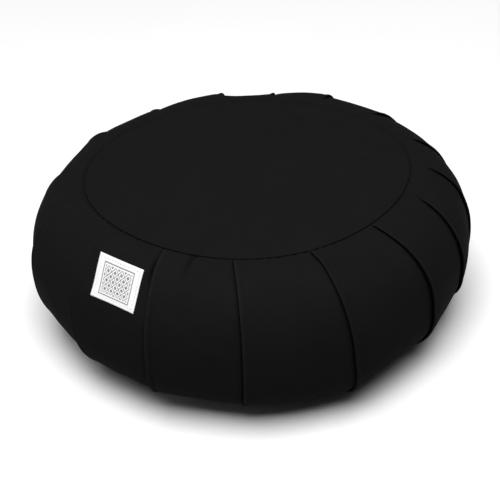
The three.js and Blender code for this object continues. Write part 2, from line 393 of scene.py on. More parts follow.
    def painted_light(self, index, share, along):
        """A panel's painted light: a painted highlight beside its own fold, painted shade beside the next one
        and in its creases.
        """
        turn = self.turn_at(along)
        past_fold = np.maximum(share * self.width(index, turn) - RIDGE_MIDDLE, 0)
        to_next = (1 - share) * self.width(index, turn)
        # painted highlight beside its own fold, then painted shade beside the next fold and in the creases
        painted_light = self.painted_fold_light(index, turn) * bell(past_fold, RIDGE_SPREAD)
        painted_light = painted_light - self.painted_fold_light(index + 1, turn) * np.exp(-to_next / SHADED_REACH)
        for crease in creases(index):
            painted_light = painted_light - (self.crease_depth(crease, share, along) / CREASE_SHADED) ** 2
        return np.clip(painted_light, -1, 1)

    def crease_depth(self, crease, share, along):
        upper, lower = np.array(crease["down"]) * MM
        reach = (along - upper) / (lower - upper)
        line = mix(crease["share"][0], crease["share"][1], np.clip(reach, 0, 1))
        fading = smooth(reach, -0.25, 0.12) * smooth(1 - reach, -0.1, 0.7)
        return crease["depth"] * MM * fading * bell((share - line) * CREASE_PANEL, crease["spread"] * MM)

    def place(self, azimuth, along, standing):
        """The point at an azimuth and a distance down the side. Past the seams it lies in the grooves."""
        inside = np.clip(along, 0, self.length)
        past = along - inside
        turn = self.turn_at(inside)
        radius, height, outward, upward = self.section(turn)
        from_seam = np.where(turn < 0.5, 1 - np.maximum(outward, 0) ** ROUNDNESS, 0)
        radius = radius + straying(azimuth) * from_seam
        near = np.minimum(inside, self.length - inside)
        standing = standing - SHOULDER_DROP * np.maximum(1 - near / SHOULDER, 0) ** 2
        level = height + 0 * azimuth
        even = np.stack([radius * np.cos(azimuth), radius * np.sin(azimuth), level], -1)
        standing = standing + self.lumps(even) * self.settled(turn) + self.gathers(azimuth, near)
        reach = radius + standing * outward - GROOVE_LEAN * np.abs(past)
        level = height + standing * upward + past
        return np.stack([reach * np.cos(azimuth), reach * np.sin(azimuth), level], -1)

    def lumps(self, points):
        """The filling's unevenness under the cloth."""
        lumps = unevenness(points, LUMP_SIZE, LUMP_DEPTH, self.seed)
        return lumps + unevenness(points, RUMPLE_SIZE, RUMPLE_DEPTH, self.seed + 1)

    def gathers(self, azimuth, near):
        """Small ripples where the stitches of a seam pull the cloth in."""
        around = azimuth * SEAM_RIPPLES
        drift = 1.7 * np.sin(azimuth * 9.0) + 1.1 * np.sin(azimuth * 23.0 + 1.0)
        strength = 0.6 + 0.4 * np.sin(azimuth * 5.0 + 2.0)
        return SEAM_RIPPLE_DEPTH * strength * np.sin(around + drift) * np.exp(-near / SEAM_RIPPLE_REACH)


# Meshes from points

def mesh_object(name, points, faces, corner_uvs=None):
    """A smooth mesh object at the origin. corner_uvs holds one pair for each corner of each face."""
    mesh = bpy.data.meshes.new(name)
    mesh.from_pydata(np.asarray(points, float).reshape(-1, 3).tolist(), [], faces)
    if corner_uvs is not None:
        layer = mesh.uv_layers.new(name="UVMap")
        layer.data.foreach_set("uv", np.asarray(corner_uvs, np.float32).ravel())
    mesh.polygons.foreach_set("use_smooth", [True] * len(mesh.polygons))
    mesh.validate()
    mesh.update()
    obj = bpy.data.objects.new(name, mesh)
    bpy.context.scene.collection.objects.link(obj)
    return obj


def ring_strip(rows, columns):
    """Quads between closed rings of points, the first ring on top."""
    faces = []
    for i in range(rows - 1):
        for j in range(columns):
            k = (j + 1) % columns
            faces.append((i * columns + j, (i + 1) * columns + j, (i + 1) * columns + k, i * columns + k))
    return faces


def assign(obj, material):
    obj.data.materials.clear()
    obj.data.materials.append(material)


# The filling's swell

SWELL_ROWS = 46
SWELL_STEPS = 14  # across each panel
SWELL_FRAMES = 20
SWELL_PRESSURE = 4


def swell_shell(side, slack):
    """Points of all the panels, drawn in by the slack, and the outward direction at each."""
    along = np.linspace(0, side.length, SWELL_ROWS + 1)
    turn = side.turn_at(along)
    shares = np.arange(SWELL_STEPS) / SWELL_STEPS
    azimuths, heights = [], []
    for index in range(len(PLEATS)):
        start, end = side.fold_azimuth(index, turn), side.fold_azimuth(index + 1, turn)
        azimuths.append(mix(start[:, None], end[:, None], shares[None, :]))
        heights.append(side.face(index, shares[None, :], along[:, None], slack))
    azimuth, height = np.concatenate(azimuths, 1), np.concatenate(heights, 1)
    radius, level, outward, upward = side.section(turn)
    reach = radius[:, None] + height * outward[:, None]
    level = level[:, None] + height * upward[:, None]
    right, rear = np.cos(azimuth), np.sin(azimuth)
    points = np.stack([reach * right, reach * rear, level], -1)
    normals = np.stack([outward[:, None] * right, outward[:, None] * rear, upward[:, None] + 0 * azimuth], -1)
    return points, normals


def simulated_swell(side, sizes):
    """Each panel's grid of how far the filling pushes it out, by cloth simulation of a closed shell.

    The shell is held at its seams and folds."""
    points, normals = swell_shell(side, sizes.slack)
    rows, columns = points.shape[:2]
    faces = ring_strip(rows, columns)
    top, base = rows * columns, rows * columns + 1
    for j in range(columns):
        k = (j + 1) % columns
        faces.append((top, j, k))
        faces.append((base, (rows - 1) * columns + k, (rows - 1) * columns + j))
    middles = [points[0].mean(0), points[-1].mean(0)]
    shell = mesh_object("swell_shell", np.concatenate([points.reshape(-1, 3), middles]), faces)
    held = [top, base]
    for i in range(rows):
        for j in range(columns):
            if i in (0, rows - 1) or j % SWELL_STEPS == 0:
                held.append(i * columns + j)
    shell.vertex_groups.new(name="held").add(held, 1.0, "REPLACE")
    cloth = shell.modifiers.new("cloth", "CLOTH")
    settings = cloth.settings
    settings.vertex_group_mass = "held"
    settings.quality = 5
    settings.tension_stiffness = settings.compression_stiffness = 8
    settings.shear_stiffness = 3
    settings.bending_stiffness = 0.9
    settings.use_pressure = True
    settings.uniform_pressure_force = SWELL_PRESSURE
    settings.effector_weights.gravity = 0
    cloth.point_cache.frame_start = 1
    cloth.point_cache.frame_end = SWELL_FRAMES
    scene = bpy.context.scene
    for step in range(1, SWELL_FRAMES + 1):
        scene.frame_set(step)
    filled = shell.evaluated_get(bpy.context.evaluated_depsgraph_get()).to_mesh()
    ended = np.zeros(len(filled.vertices) * 3)
    filled.vertices.foreach_get("co", ended)
    scene.frame_set(1)
    mesh = shell.data
    bpy.data.objects.remove(shell)
    bpy.data.meshes.remove(mesh)
    moved = ended.reshape(-1, 3)[: rows * columns].reshape(rows, columns, 3) - points
    outward = np.clip((moved * normals).sum(-1), 0, sizes.swell)
    closed = np.concatenate([outward, outward[:, :1]], 1)
    closed[1:-1] = (closed[:-2] + 2 * closed[1:-1] + closed[2:]) / 4
    return [closed[:, k * SWELL_STEPS : (k + 1) * SWELL_STEPS + 1] for k in range(len(PLEATS))]


# The pleated side

FACE_COLUMNS = 40
UNDERLAY = np.array([1.0, 0.6, 0.25])  # shares of the pleat's depth, from its inner fold to its outer one
TAIL = np.array([0.0, 0.3, 0.65, 1.0])
LIP_ANGLES = np.radians([250, 215, 180, 145, 112])
LAYER_GAP = 0.25 * MM  # between the layers tucked under a panel
SEWN_CLEARANCE = 0.9 * MM  # added to it at the seams, where the cloth ripples
SEWN_REACH = 4 * MM  # over which that fades
LEAST_DEPTH = 0.35 * MM  # of a pleat, which it keeps in the grooves
INNER_FOLD = 0.35  # radius of a pleat's inner fold, as a share of its outer one's
CAP_SHARES = (0.97, 0.9, 0.72, 0.45, 0.2)  # of the seam's radius, where the rings of its cap lie
BASE_SINK = 0.55  # share of the base seam's height by which the cap there sinks towards the floor


def side_rows(length, groove):
    """Distances down the side: past the seams into the grooves, close near the seams, even between."""
    near = np.array([0, 0.6, 1.3, 2.2, 3.3, 4.7, 6.4]) * MM
    past = np.array([1.0, 0.6, 0.25]) * groove
    middle = np.linspace(near[-1], length - near[-1], 74)[1:-1]
    return np.concatenate([-past, near, middle, length - near[::-1], length + past[::-1]])


def pleat_block(side, index, along):
    """One pleat's cloth at every row: its inner fold, the underlay, the outer fold, the face and the tail.

    Gives azimuths, standings, distances across the cloth from the panel's middle, and its painted light: 1
    for a painted highlight along a fold's edge, 0 on the open cloth and -1 for painted shade where it is
    tucked under a fold."""
    sizes = side.sizes
    inside = np.clip(along, 0, side.length)
    turn = side.turn_at(inside)
    radius = side.section(turn)[0]
    near = np.minimum(inside, side.length - inside)
    in_groove = np.abs(along - inside) / sizes.groove
    gather = 1 - smooth(in_groove, 0, 0.7)  # pleats are flattened out in the grooves
    opening = np.sin(math.pi * inside / side.length) ** 0.8
    depth = mix(sizes.sewn_depth, sizes.open_depth, opening) * gather + LEAST_DEPTH
    start, end = side.fold_azimuth(index, turn), side.fold_azimuth(index + 1, turn)
    width = side.width(index, turn)
    lip_radius = side.layer(index, turn) * mix(0.25, 1.0, gather)
    inner_radius = INNER_FOLD * lip_radius
    clearance = LAYER_GAP + SEWN_CLEARANCE * np.exp(-near / SEWN_REACH)
    azimuths, standings, distances, painted_lights = [], [], [], []

    def column(origin, across, standing, distance, painted_light):
        azimuths.append(origin + across / radius)
        standings.append(standing)
        distances.append(distance)
        painted_lights.append(painted_light * gather)

    def face_at(share):
        return side.detailed_face(index, share, inside)

    def under_face(across):
        """Height just under this panel's own face, at a distance past its fold."""
        return face_at(np.clip(across / width, 0, 1)) - 2 * lip_radius - clearance

    deep = np.minimum(side.layers(index, turn)[2], under_face(depth))
    face_top = face_at(np.clip(2 * lip_radius / width, 0, 1))
    # the inner fold and the underlay lie tucked under the fold and get painted shade (-1)
    column(start, depth + inner_radius, deep + inner_radius, -width / 2 - 2 * depth, -1.0)
    for share in UNDERLAY:
        across = depth * share
        height = mix(face_top - 2 * lip_radius, deep + 2 * inner_radius, share)
        height = np.minimum(height, under_face(across) + inner_radius)
        column(start, across, height, -width / 2 - across, -1.0)
    painted_highlight = side.painted_fold_light(index, turn)
    for angle in LIP_ANGLES:
        across = lip_radius * (1 + math.cos(angle))
        # a painted highlight on the lip, strongest on its outer side
        painted_light = painted_highlight * max(0.0, math.sin(angle))
        column(start, across, face_top - lip_radius * (1 - math.sin(angle)), -width / 2, painted_light)
    even = np.linspace(0, 1, FACE_COLUMNS)
    shares = mix(even, (1 - np.cos(math.pi * even)) / 2, 0.55)  # closer towards the folds
    first = 2 * lip_radius / width
    last = 1 - 1.5 * MM / width
    for share in shares:
        at = mix(first, last, share)
        column(start, at * width, face_at(at), (at - 0.5) * width, side.painted_light(index, at, inside))
    following = (index + 1) % len(PLEATS)
    _, _, under = side.layers(index + 1, turn)
    next_width = side.width(following, turn)
    next_lip = side.layer(following, turn) * mix(0.25, 1.0, gather)
    for share in TAIL:
        across = depth * share
        clear = 2 * clearance * min(share / TAIL[1], 1)
        next_face = side.detailed_face(following, np.clip(across / next_width, 0, 1), inside)
        height = np.minimum(under, next_face - 2 * next_lip - clear)
        # the tail, tucked under the next fold, gets that fold's painted shade
        column(end, across, height, width / 2 + across, -side.painted_fold_light(index + 1, turn))
    return [np.stack(part, 1) for part in (azimuths, standings, distances, painted_lights)]


def cap_rings(ring, rise):
    """Rings inwards from a seam's ring, which close the side there. Their middle stands out by the rise."""
    level = ring[:, 2].mean() + 0 * ring[:, 2]
    rings = []
    for share in CAP_SHARES:
        spot = ring * share
        spot[:, 2] = mix(ring[:, 2], level, smooth(1 - share, 0, 0.1)) + rise * (1 - share**2)
        rings.append(spot)
    return rings


def make_pleated_side(side, material):
    """The side as one closed form: folded cloth all round, closed under the seat and over the base."""
    sizes = side.sizes
    along = side_rows(side.length, sizes.groove)
    blocks = [pleat_block(side, index, along) for index in range(len(PLEATS))]
    azimuth = np.concatenate([block[0] for block in blocks], 1)
    standing = np.concatenate([block[1] for block in blocks], 1)
    points = side.place(azimuth, along[:, None], standing)
    columns = azimuth.shape[1]
    top_rings = cap_rings(points[0], sizes.crown)[::-1]
    base_rings = cap_rings(points[-1], -BASE_SINK * sizes.base_seam)
    rings = [*top_rings, *points, *base_rings]
    faces = ring_strip(len(rings), columns)
    u = np.concatenate([block[2] + 0.1 * k for k, block in enumerate(blocks)], 1)
    down = np.concatenate([[along[0]] * len(top_rings), along, [along[-1]] * len(base_rings)])
    across = np.concatenate([[u[0]] * len(top_rings), u, [u[-1]] * len(base_rings)])
    right = across[:, (np.arange(columns) + 1) % columns].copy()
    pleat_columns = columns // len(PLEATS)
    last = np.arange(columns) % pleat_columns == pleat_columns - 1
    right[:, last] = across[:, last] + 1 * MM
    uvs = []
    for i in range(len(rings) - 1):
        low, high = down[i], down[i + 1]
        for j in range(columns):
            uvs += [(across[i, j], -low), (across[i + 1, j], -high)]
            uvs += [(right[i + 1, j], -high), (right[i, j], -low)]
    count = len(rings) * columns
    faces.append(tuple(range(columns)))
    uvs += [(across[0, j], 0.0) for j in range(columns)]
    faces.append(tuple(range(count - 1, count - columns - 1, -1)))
    uvs += [(across[-1, j], 0.0) for j in range(columns)]
    piece = mesh_object("side_cloth", np.concatenate(rings), faces, uvs)
    # the folds' painted highlight and painted shade, kept as an attribute for the cotton's colour; none on
    # the caps
    painted_light = np.concatenate([block[3] for block in blocks], 1)
    no_painted_light = np.zeros((len(CAP_SHARES), columns))
    painted_light = np.concatenate([no_painted_light, painted_light, no_painted_light]).astype(np.float32)
    piece.data.attributes.new("painted_light", "FLOAT", "POINT").data.foreach_set("value", painted_light.ravel())
    assign(piece, material)
    return piece


# Node trees

def socket_value(tree, socket, value):
    if isinstance(value, bpy.types.NodeSocket):
        tree.links.new(value, socket)
    elif value is not None:
        socket.default_value = value


def add_node(tree, kind, values=(), **settings):
    """A node with its settings. values fills its inputs, by name or number, with values or other outputs."""
    node = tree.nodes.new(kind)
    for key, value in settings.items():
        setattr(node, key, value)
    for key, value in dict(values).items():
        socket_value(tree, node.inputs[key], value)
    return node


def maths(tree, operation, *values):
    """A Math node's result."""
    return add_node(tree, "ShaderNodeMath", dict(enumerate(values)), operation=operation).outputs[0]


def noise_value(tree, place, scale, detail, roughness=0.5):
    """Noise from 0 to 1, with a scale in hills to a metre."""
    values = {"Vector": place, "Scale": scale, "Detail": detail, "Roughness": roughness}
    return add_node(tree, "ShaderNodeTexNoise", values).outputs[0]


def relief_normal(tree, height, strength, distance, over=None):
    """The normal of a bumpy surface, which may lie over another one's."""
    values = {"Height": height, "Strength": strength, "Distance": distance, "Normal": over}
    return add_node(tree, "ShaderNodeBump", values).outputs[0]


def blend(tree, one, one_share, other, other_share):
    """The sum of two values, each times its share."""
    first = maths(tree, "MULTIPLY", one, one_share)
    return maths(tree, "ADD", first, maths(tree, "MULTIPLY", other, other_share))


def new_geometry_tree(name, inputs):
    """A geometry tree and its inputs by name, each given as (name, socket kind, value)."""
    tree = bpy.data.node_groups.new(name, "GeometryNodeTree")
    tree.interface.new_socket("Geometry", in_out="OUTPUT", socket_type="NodeSocketGeometry")
    tree.interface.new_socket("Geometry", in_out="INPUT", socket_type="NodeSocketGeometry")
    for label, kind, value in inputs:
        socket = tree.interface.new_socket(label, in_out="INPUT", socket_type="NodeSocket" + kind)
        if value is not None:
            socket.default_value = value
    return tree, tree.nodes.new("NodeGroupInput").outputs


def finish_geometry_tree(tree, geometry, material):
    realized = add_node(tree, "GeometryNodeRealizeInstances", {0: geometry}).outputs[0]
    covered = add_node(tree, "GeometryNodeSetMaterial", {"Geometry": realized, "Material": material})
    add_node(tree, "NodeGroupOutput", {0: covered.outputs[0]})


def made_by_nodes(name, source, tree, values):
    """The plain mesh object that a tree makes of a source object, which is removed."""
    modifier = source.modifiers.new("nodes", "NODES")
    modifier.node_group = tree
    for item in tree.interface.items_tree:
        if item.in_out == "INPUT" and item.name in values:
            modifier[item.identifier] = values[item.name]
    source.update_tag()
    graph = bpy.context.evaluated_depsgraph_get()
    mesh = bpy.data.meshes.new_from_object(source.evaluated_get(graph), depsgraph=graph)
    mesh.name = name
    source.modifiers.remove(modifier)
    bpy.data.objects.remove(source)
    obj = bpy.data.objects.new(name, mesh)
    bpy.context.scene.collection.objects.link(obj)
    return obj


# The two discs

DISC_COLUMNS = 360
DISC_ROWS = 61
EDGE_TURN = 32.0  # how sharply a disc's edge turns in at its seam
RINGS_OUTWARDS = 1.7  # over 1 the rings of points lie closer towards the edge
DISC_HILLS = 14.0  # to a metre of the disc's cloth
HILLS_END = 12.0  # powers of the share of the radius: where the hills fade out towards the edge,
GATHERS_RISE = 22.0  # where the gathers rise
GATHERS_END = 60.0  # and where they end at the seam
DISC_TUCK = 0.75 * MM  # how far a disc runs past its own size, down into the seam's groove


def disc_tree():
    """A round of cloth: a crown that eases to a turned edge, with gathers at its seam and soft unevenness."""
    tree, given = new_geometry_tree(
        "sewn_disc",
        [
            ("Radius", "Float", 0.14),
            ("Seam Height", "Float", 0.138),
            ("Crown", "Float", 0.007),
            ("Flat Share", "Float", 0.0),
            ("Facing", "Float", 1.0),
            ("Thickness", "Float", 0.0015),
            ("Edge Drop", "Float", 0.002),
            ("Straying", "Float", 1.0),
            ("Gather Depth", "Float", 0.0003),
            ("Gathers", "Float", 90.0),
            ("Unevenness", "Float", 0.001),
            ("Seed", "Float", 0.0),
            ("Material", "Material", None),
        ],
    )
    grid = add_node(tree, "GeometryNodeMeshGrid", {"Vertices X": DISC_COLUMNS + 1, "Vertices Y": DISC_ROWS})
    position = tree.nodes.new("GeometryNodeInputPosition").outputs[0]
    place = add_node(tree, "ShaderNodeSeparateXYZ", {0: position})
    angle = maths(tree, "MULTIPLY", maths(tree, "ADD", place.outputs["X"], 0.5), TWO_PI)
    side_sign = maths(tree, "SIGN", maths(tree, "ROUND", maths(tree, "MULTIPLY", place.outputs["Y"], 1000.0)))
    from_edge = maths(tree, "MULTIPLY", maths(tree, "ABSOLUTE", place.outputs["Y"]), 2.0)
    share = maths(tree, "SUBTRACT", 1.0, maths(tree, "POWER", from_edge, RINGS_OUTWARDS))
    reach = given["Radius"]
    for wave in SEAM_WAVES:
        first_crest = wave["rounds"] * math.radians(wave["crest"])
        phase = maths(tree, "MULTIPLY_ADD", angle, wave["rounds"], -first_crest)
        stray = maths(tree, "MULTIPLY", maths(tree, "COSINE", phase), wave["depth"] * MM)
        reach = maths(tree, "MULTIPLY_ADD", stray, given["Straying"], reach)
    radius = maths(tree, "MULTIPLY", share, reach)
    x = maths(tree, "MULTIPLY", radius, maths(tree, "COSINE", angle))
    y = maths(tree, "MULTIPLY", radius, maths(tree, "SINE", angle))
    past_flat = maths(tree, "MAXIMUM", maths(tree, "SUBTRACT", share, given["Flat Share"]), 0.0)
    curved = maths(tree, "DIVIDE", past_flat, maths(tree, "SUBTRACT", 1.0, given["Flat Share"]))
    sunk = maths(tree, "POWER", curved, 2.0)
    dome = maths(tree, "MULTIPLY", given["Crown"], maths(tree, "SUBTRACT", 1.0, sunk))
    drop = maths(tree, "MULTIPLY", given["Edge Drop"], maths(tree, "POWER", share, EDGE_TURN))
    gathering = maths(tree, "MULTIPLY", angle, given["Gathers"])
    wave = maths(tree, "SINE", maths(tree, "ADD", gathering, given["Seed"]))
    rising = maths(tree, "POWER", share, GATHERS_RISE)
    ending = maths(tree, "SUBTRACT", 1.0, maths(tree, "POWER", share, GATHERS_END))
    near_edge = maths(tree, "MULTIPLY", rising, ending)
    gather = maths(tree, "MULTIPLY", maths(tree, "MULTIPLY", wave, near_edge), given["Gather Depth"])
    spot = add_node(tree, "ShaderNodeCombineXYZ", {"X": x, "Y": y, "Z": given["Seed"]}).outputs[0]
    hills = noise_value(tree, spot, DISC_HILLS, 1.5, 0.45)
    inside = maths(tree, "SUBTRACT", 1.0, maths(tree, "POWER", share, HILLS_END))
    off_floor = maths(tree, "MULTIPLY", inside, curved)
    is_seat = maths(tree, "GREATER_THAN", given["Facing"], 0.0)
    where = add_node(tree, "ShaderNodeMix", {"Factor": is_seat, "A": off_floor, "B": inside}).outputs[0]
    lumps = maths(tree, "MULTIPLY", maths(tree, "SUBTRACT", hills, 0.5), given["Unevenness"])
    lumps = maths(tree, "MULTIPLY", lumps, where)
    outer = maths(tree, "ADD", maths(tree, "SUBTRACT", dome, drop), maths(tree, "ADD", gather, lumps))
    is_inner = maths(tree, "LESS_THAN", maths(tree, "MULTIPLY", side_sign, given["Facing"]), -0.5)
    level = maths(tree, "SUBTRACT", outer, maths(tree, "MULTIPLY", is_inner, given["Thickness"]))
    height = maths(tree, "ADD", given["Seam Height"], maths(tree, "MULTIPLY", level, given["Facing"]))
    moved = add_node(tree, "ShaderNodeCombineXYZ", {"X": x, "Y": y, "Z": height}).outputs[0]
    flat = add_node(tree, "ShaderNodeCombineXYZ", {"X": x, "Y": y}).outputs[0]
    marked = add_node(
        tree,
        "GeometryNodeStoreNamedAttribute",
        {"Geometry": grid.outputs["Mesh"], "Name": "UVMap", "Value": flat},
        data_type="FLOAT2",
        domain="CORNER",
    )
    shaped = add_node(tree, "GeometryNodeSetPosition", {"Geometry": marked.outputs[0], "Position": moved})
    closed = add_node(tree, "GeometryNodeMergeByDistance", {"Geometry": shaped.outputs[0], "Distance": 1e-6})
    soft = add_node(tree, "GeometryNodeSetShadeSmooth", {"Geometry": closed.outputs[0]})
    finish_geometry_tree(tree, soft.outputs[0], given["Material"])
    return tree


# Stitches

BLACK_THREAD = (0.012, 0.012, 0.012)
WHITE_THREAD = (0.38, 0.38, 0.377)
SEAM_THREAD_DEPTH = 2.9 * MM  # of the seams' stitches in their grooves
SEAM_THREAD = 0.55 * MM  # thicknesses of the two threads
LABEL_THREAD = 0.42 * MM


def stitch_tree():
    """Short stitches of thread, evenly along a curve, each turned a little by chance."""
    tree, given = new_geometry_tree(
        "stitches",
        [
            ("Pitch", "Float", 0.003),
            ("Length", "Float", 0.0022),
            ("Thread", "Float", 0.0004),
            ("Turn", "Float", 0.1),
            ("Seed", "Int", 0),
            ("Material", "Material", None),
        ],
    )
    spacing = {"Curve": given["Geometry"], "Length": given["Pitch"]}
    spaced = add_node(tree, "GeometryNodeResampleCurve", spacing, mode="LENGTH")
    thread = add_node(tree, "GeometryNodeMeshUVSphere", {"Segments": 8, "Rings": 6, "Radius": 0.5})
    shape = {"X": given["Length"], "Y": given["Thread"], "Z": given["Thread"]}
    scale = add_node(tree, "ShaderNodeCombineXYZ", shape)
    tangent = tree.nodes.new("GeometryNodeInputTangent").outputs[0]
    aligned = add_node(tree, "FunctionNodeAlignRotationToVector", {"Vector": tangent}, axis="X")
    chance = add_node(
        tree,
        "FunctionNodeRandomValue",
        {"Min": maths(tree, "MULTIPLY", given["Turn"], -1.0), "Max": given["Turn"], "Seed": given["Seed"]},
        data_type="FLOAT",
    )
    angle = chance.outputs["Value"]
    turn = add_node(tree, "ShaderNodeCombineXYZ", {"Y": angle, "Z": angle})
    turning = {"Rotation": aligned.outputs[0], "Rotate By": turn.outputs[0]}
    rotated = add_node(tree, "FunctionNodeRotateRotation", turning, rotation_space="LOCAL")
    placed = add_node(
        tree,
        "GeometryNodeInstanceOnPoints",
        {
            "Points": spaced.outputs[0],
            "Instance": thread.outputs["Mesh"],
            "Rotation": rotated.outputs[0],
            "Scale": scale.outputs[0],
        },
    )
    soft = add_node(tree, "GeometryNodeSetShadeSmooth", {"Geometry": placed.outputs[0]})
    finish_geometry_tree(tree, soft.outputs[0], given["Material"])
    return tree


def loop_curve(name, points):
    """A closed curve object through the points."""
    curve = bpy.data.curves.new(name, "CURVE")
    curve.dimensions = "3D"
    spline = curve.splines.new("POLY")
    spline.points.add(len(points) - 1)
    spline.points.foreach_set("co", [value for point in points for value in (*point, 1.0)])
    spline.use_cyclic_u = True
    obj = bpy.data.objects.new(name, curve)
    bpy.context.scene.collection.objects.link(obj)
    return obj


def sewn(name, path, material, seed, pitch, shown, thickness, turn):
    """Stitches along a closed path. shown is the share of their pitch that shows, and turn is how far
    chance may turn each one, in radians."""
    tree = bpy.data.node_groups.get("stitches") or stitch_tree()
    values = {
        "Pitch": pitch,
        "Length": shown * pitch,
        "Thread": thickness,
        "Turn": turn,
        "Seed": seed,
        "Material": material,
    }
    return made_by_nodes(name, loop_curve(name + "_path", path), tree, values)


# The label

LABEL_COLUMNS = 48
LABEL_ROWS = 40
LABEL_INSET = 2.4 * MM  # of its stitches from its edge
LABEL_CLEARANCE = 0.3 * MM  # over its panel
STITCH_DRAW = 0.22 * MM  # how far its stitches draw it down
LABEL_RIPPLE = 0.12 * MM
LATTICE_WIDTH = 28.8 * MM  # of the pattern woven into it
LATTICE_HEIGHT = 21.6 * MM
LATTICE_PITCH = 7.2 * MM
LATTICE_LINE = 0.9 * MM  # width of the frame's line, and of the lattice's slanted ones along a level line
FRAME_GAP = 1.6 * MM  # from the lattice to the middle of the frame's line


def label_spot(side, across, down, lift):
    """A point on the label's cloth, from distances across and down from its middle."""
    sizes = side.sizes
    cosine, sine = math.cos(sizes.label_turn), math.sin(sizes.label_turn)
    sideways = across * cosine + down * sine
    # a straight edge runs on down past a level line round the side
    along = sizes.label_down + down * cosine - across * sine + sideways**2 / (2 * LABEL_SWEEP)
    turn = side.turn_at(along)
    start, end = side.fold_azimuth(LABEL_PANEL, turn), side.fold_azimuth(LABEL_PANEL + 1, turn)
    share = sizes.label_middle + sideways / side.section(turn)[0] / (end - start)
    standing = side.detailed_face(LABEL_PANEL, share, along) + lift
    return side.place(mix(start, end, share), along, standing)


def make_label(side, material):
    """The label: a thin sheet on the panel, soft at its edges, drawn down a little along its stitches."""
    sizes = side.sizes
    across = (np.linspace(0, 1, LABEL_COLUMNS + 1) - 0.5) * sizes.label_width
    down = (np.linspace(0, 1, LABEL_ROWS + 1) - 0.5) * sizes.label_height
    x, y = np.meshgrid(across, down)
    edge = np.minimum(sizes.label_width / 2 - np.abs(x), sizes.label_height / 2 - np.abs(y))
    soft = sizes.label_cloth * smooth(edge, -1.2 * MM, 0.9 * MM)
    drawn = STITCH_DRAW * bell(edge - LABEL_INSET, 0.8 * MM)
    ripple = LABEL_RIPPLE * np.sin(x / (4.1 * MM) + 1.3 * np.sin(y / (7 * MM))) * smooth(edge, 0, 5 * MM)
    outer = label_spot(side, x, y, LABEL_CLEARANCE + soft - drawn + ripple)
    inner = label_spot(side, x, y, LABEL_CLEARANCE * 0.4 + 0 * x)
    rows, columns = x.shape
    faces, uvs = [], []

    def uv(i, j):
        return (x[i, j], -y[i, j])

    def quad(*corners):
        faces.append(tuple(layer * rows * columns + i * columns + j for layer, i, j in corners))
        uvs.extend(uv(i, j) for _, i, j in corners)

    for i in range(rows - 1):
        for j in range(columns - 1):
            quad((0, i, j), (0, i + 1, j), (0, i + 1, j + 1), (0, i, j + 1))
            quad((1, i, j), (1, i, j + 1), (1, i + 1, j + 1), (1, i + 1, j))
    for j in range(columns - 1):
        quad((0, 0, j), (0, 0, j + 1), (1, 0, j + 1), (1, 0, j))
        quad((0, rows - 1, j + 1), (0, rows - 1, j), (1, rows - 1, j), (1, rows - 1, j + 1))
    for i in range(rows - 1):
        quad((0, i + 1, 0), (0, i, 0), (1, i, 0), (1, i + 1, 0))
        quad((0, i, columns - 1), (0, i + 1, columns - 1), (1, i + 1, columns - 1), (1, i, columns - 1))
    piece = mesh_object("label_cloth", np.stack([outer, inner]), faces, uvs)
    assign(piece, material)
    return piece


def label_stitch_path(side):
    """The loop of the label's stitches, on its outside."""
    sizes = side.sizes
    half_width = sizes.label_width / 2 - LABEL_INSET
    half_height = sizes.label_height / 2 - LABEL_INSET
    corners = [(-1, -1), (1, -1), (1, 1), (-1, 1), (-1, -1)]
    path = []
    for (x0, y0), (x1, y1) in zip(corners, corners[1:]):
        for share in np.arange(24) / 24:
            path.append((mix(x0, x1, share) * half_width, mix(y0, y1, share) * half_height))
    x, y = np.array(path).T
    lift = LABEL_CLEARANCE + sizes.label_cloth - STITCH_DRAW
    return label_spot(side, x, y, lift + 0.02 * MM)


# Materials

RAMP_REACH = (0.35, 0.65)  # values over which a noise's colour changes
PAINTED_HIGHLIGHT_SHARE = 0.3  # share by which a painted highlight along a fold's edge makes the cotton paler
PAINTED_SHADE_SHARE = 0.8  # share by which painted shade makes tucked cloth, and cloth beside folds and in creases, darker


def new_material(name):
    material = bpy.data.materials.new(name)
    material.use_nodes = True
    tree = material.node_tree
    return material, tree, tree.nodes["Principled BSDF"]


def cloth_uv(tree):
    """The piece's own map, in metres of cloth."""
    return add_node(tree, "ShaderNodeUVMap", uv_map="UVMap").outputs[0]


def rising_ramp(tree, value, low, high):
    """A colour that goes from low to high as the value rises."""
    ramp = add_node(tree, "ShaderNodeValToRGB", {"Fac": value})
    for element, place, colour in zip(ramp.color_ramp.elements, RAMP_REACH, (low, high)):
        element.position = place
        element.color = (*colour, 1.0)
    return ramp.outputs[0]


